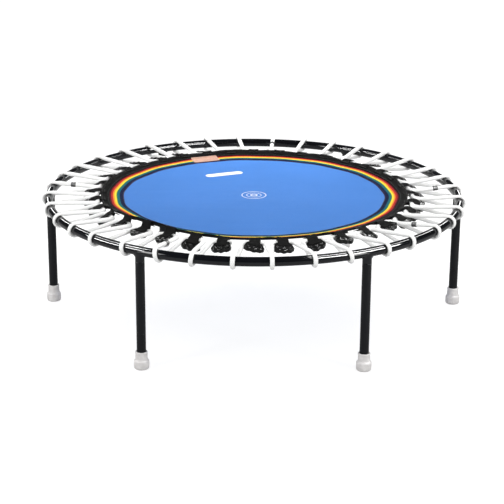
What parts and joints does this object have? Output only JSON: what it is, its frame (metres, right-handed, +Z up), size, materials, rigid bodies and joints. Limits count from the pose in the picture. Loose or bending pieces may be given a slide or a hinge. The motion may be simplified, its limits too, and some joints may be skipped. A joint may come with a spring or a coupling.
{
  "type": "mini trampoline",
  "caption": "Round mini trampoline: a steel tube ring on screw-in legs, with a woven mat hung inside it by a white elastic rope laced over the ring.",
  "frame": {"origin": "on the floor under the middle of the ring", "axes": "+Z up, +X through leg 1, legs numbered counterclockwise seen from above, -Y is the side seen in front"},
  "size_m": [1.22, 1.22, 0.3529],
  "materials": {
    "frame_paint": "gloss black powder coat with a slight blue cast",
    "leg_paint": "satin black powder coat",
    "thread_steel": "zinc-plated steel",
    "foot_rubber": "pale grey-white rubber",
    "mat_fabric": "blue woven synthetic mat",
    "ribbon_fabric": "ribbon woven in parallel rainbow stripes",
    "border_webbing": "black woven webbing",
    "loop_webbing": "black woven webbing",
    "label_fabric": "plain salmon-coloured woven patch",
    "cleat_plastic": "black moulded plastic",
    "rope_fabric": "white braided elastic cord",
    "crimp_metal": "grey pressed sleeve"
  },
  "bodies": {
    "frame": {"ring_tube": "frame_paint", "leg_socket_1": "frame_paint", "leg_socket_2": "frame_paint", "leg_socket_3": "frame_paint", "leg_socket_4": "frame_paint", "leg_socket_5": "frame_paint", "leg_socket_6": "frame_paint", "socket_nut_1": "thread_steel", "socket_nut_2": "thread_steel", "socket_nut_3": "thread_steel", "socket_nut_4": "thread_steel", "socket_nut_5": "thread_steel", "socket_nut_6": "thread_steel", "elastic_rope_1": "rope_fabric", "elastic_rope_2": "rope_fabric", "elastic_rope_3": "rope_fabric", "elastic_rope_4": "rope_fabric", "elastic_rope_5": "rope_fabric", "rope_crimps": "crimp_metal"},
    "mat": {"mat_sheet": "mat_fabric", "rainbow_ribbon": "ribbon_fabric", "mat_border": "border_webbing", "sewn_label": "label_fabric", "rope_cleats": "cleat_plastic", "webbing_loops": "loop_webbing"},
    "leg_1": {"leg_tube_1": "leg_paint", "leg_stud_1": "thread_steel", "foot_1": "foot_rubber", "foot_washer_1": "thread_steel"},
    "leg_2": {"leg_tube_2": "leg_paint", "leg_stud_2": "thread_steel", "foot_2": "foot_rubber", "foot_washer_2": "thread_steel"},
    "leg_3": {"leg_tube_3": "leg_paint", "leg_stud_3": "thread_steel", "foot_3": "foot_rubber", "foot_washer_3": "thread_steel"},
    "leg_4": {"leg_tube_4": "leg_paint", "leg_stud_4": "thread_steel", "foot_4": "foot_rubber", "foot_washer_4": "thread_steel"},
    "leg_5": {"leg_tube_5": "leg_paint", "leg_stud_5": "thread_steel", "foot_5": "foot_rubber", "foot_washer_5": "thread_steel"},
    "leg_6": {"leg_tube_6": "leg_paint", "leg_stud_6": "thread_steel", "foot_6": "foot_rubber", "foot_washer_6": "thread_steel"}
  },
  "joints": [
    {"name": "mat_bounce", "type": "slide", "parent": "frame", "child": "mat", "axis": [0, 0, 1], "range_m": [-0.18, 0.02], "stiffness_N_per_m": 12000, "springref_m": 0.0009, "deforming": ["elastic_rope_1", "elastic_rope_2", "elastic_rope_3", "elastic_rope_4", "elastic_rope_5", "rope_crimps"]},
    {"name": "leg_1_unscrew", "type": "slide", "parent": "frame", "child": "leg_1", "axis": [0, 0, 1], "range_m": [-0.014, 0]},
    {"name": "leg_2_unscrew", "type": "slide", "parent": "frame", "child": "leg_2", "axis": [0, 0, 1], "range_m": [-0.014, 0]},
    {"name": "leg_3_unscrew", "type": "slide", "parent": "frame", "child": "leg_3", "axis": [0, 0, 1], "range_m": [-0.014, 0]},
    {"name": "leg_4_unscrew", "type": "slide", "parent": "frame", "child": "leg_4", "axis": [0, 0, 1], "range_m": [-0.014, 0]},
    {"name": "leg_5_unscrew", "type": "slide", "parent": "frame", "child": "leg_5", "axis": [0, 0, 1], "range_m": [-0.014, 0]},
    {"name": "leg_6_unscrew", "type": "slide", "parent": "frame", "child": "leg_6", "axis": [0, 0, 1], "range_m": [-0.014, 0]}
  ]
}
